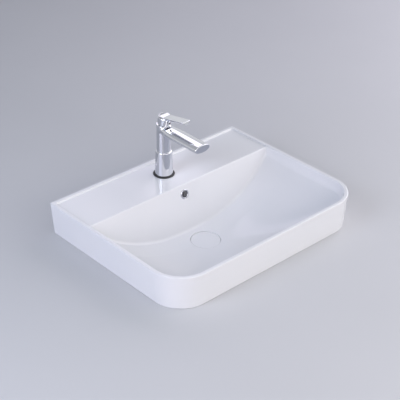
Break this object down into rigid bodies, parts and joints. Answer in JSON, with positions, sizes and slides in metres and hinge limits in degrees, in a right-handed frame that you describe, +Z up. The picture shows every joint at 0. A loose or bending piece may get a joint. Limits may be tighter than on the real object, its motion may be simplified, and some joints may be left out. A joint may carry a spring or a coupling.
{
  "type": "countertop basin with mixer tap",
  "caption": "White ceramic countertop basin with scooped bowl, flat tap deck, overflow, covered push-open waste and a single-lever tap with a flat oval spout.",
  "frame": {"origin": "middle of the basin's footprint on the counter plane, which is the skirt's flat foot", "axes": "+X to the right seen by the user, -Y towards the user, +Y to the wall, +Z up"},
  "size_m": [0.6, 0.46, 0.3889],
  "materials": {
    "glaze": "glossy white glaze",
    "overflow_chrome": "polished",
    "cap_glaze": "glossy white glaze",
    "cap_rubber": "matt",
    "rod_brass": "machined",
    "click_plastic": "moulded",
    "spring_steel": "drawn wire",
    "waste_chrome": "polished",
    "flange_rubber": "matt",
    "gasket_rubber": "matt",
    "washer_plastic": "moulded",
    "backnut_brass": "cast and machined",
    "tap_chrome": "polished",
    "base_rubber": "matt black",
    "stud_brass": "threaded",
    "horseshoe_rubber": "matt",
    "horseshoe_steel": "pressed",
    "nut_brass": "machined",
    "cartridge_plastic": "moulded",
    "cartridge_rubber": "matt",
    "fixed_disc_ceramic": "lapped",
    "moving_disc_ceramic": "lapped",
    "guide_plastic": "moulded",
    "pin_steel": "ground",
    "spindle_brass": "machined",
    "cartridge_nut_brass": "machined",
    "dome_chrome": "polished",
    "handle_chrome": "polished",
    "screw_steel": "blackened",
    "indicator_plastic": "glossy",
    "aerator_chrome": "polished",
    "aerator_plastic": "moulded",
    "aerator_rubber": "matt"
  },
  "bodies": {
    "basin": {"basin_body": "glaze", "overflow_ring": "overflow_chrome", "click_housing": "click_plastic", "click_spring": "spring_steel", "waste_flange": "waste_chrome", "flange_seal": "flange_rubber", "tail_gasket": "gasket_rubber", "slip_washer": "washer_plastic", "waste_backnut": "backnut_brass", "tap_body": "tap_chrome", "base_seal": "base_rubber", "fixing_stud": "stud_brass", "horseshoe_gasket": "horseshoe_rubber", "horseshoe_plate": "horseshoe_steel", "stud_nut": "nut_brass", "cartridge_housing": "cartridge_plastic", "cartridge_seals": "cartridge_rubber", "fixed_disc": "fixed_disc_ceramic", "cartridge_nut": "cartridge_nut_brass", "dome_cap": "dome_chrome", "aerator_housing": "aerator_chrome", "aerator_insert": "aerator_plastic", "aerator_washer": "aerator_rubber"},
    "waste_cover": {"waste_cap": "cap_glaze", "cap_seal": "cap_rubber", "push_rod": "rod_brass"},
    "turning_guide": {"spindle_guide": "guide_plastic", "pivot_pin": "pin_steel"},
    "lever": {"lever_spindle": "spindle_brass", "handle": "handle_chrome", "grub_screw": "screw_steel", "indicator_plug": "indicator_plastic"},
    "mixing_disc": {"moving_disc": "moving_disc_ceramic"}
  },
  "joints": [
    {"name": "waste_push", "type": "slide", "parent": "basin", "child": "waste_cover", "axis": [0, 0, 1], "range_m": [0, 0.008], "deforming": ["click_spring"]},
    {"name": "lever_turn", "type": "hinge", "parent": "basin", "child": "turning_guide", "pos_m": [0, 0.162, 0.2088], "axis": [0, 0, 1], "range_deg": [-45, 45]},
    {"name": "lever_lift", "type": "hinge", "parent": "turning_guide", "child": "lever", "pos_m": [0, 0.162, 0.2088], "axis": [-1, 0, 0], "range_deg": [0, 22]},
    {"name": "disc_slide", "type": "slide", "parent": "turning_guide", "child": "mixing_disc", "axis": [0, -1, 0], "range_m": [0, 0.0037]}
  ],
  "couplings": [
    {"joint": "disc_slide", "follows": "lever_lift", "m_per_rad": 0.0094418}
  ]
}
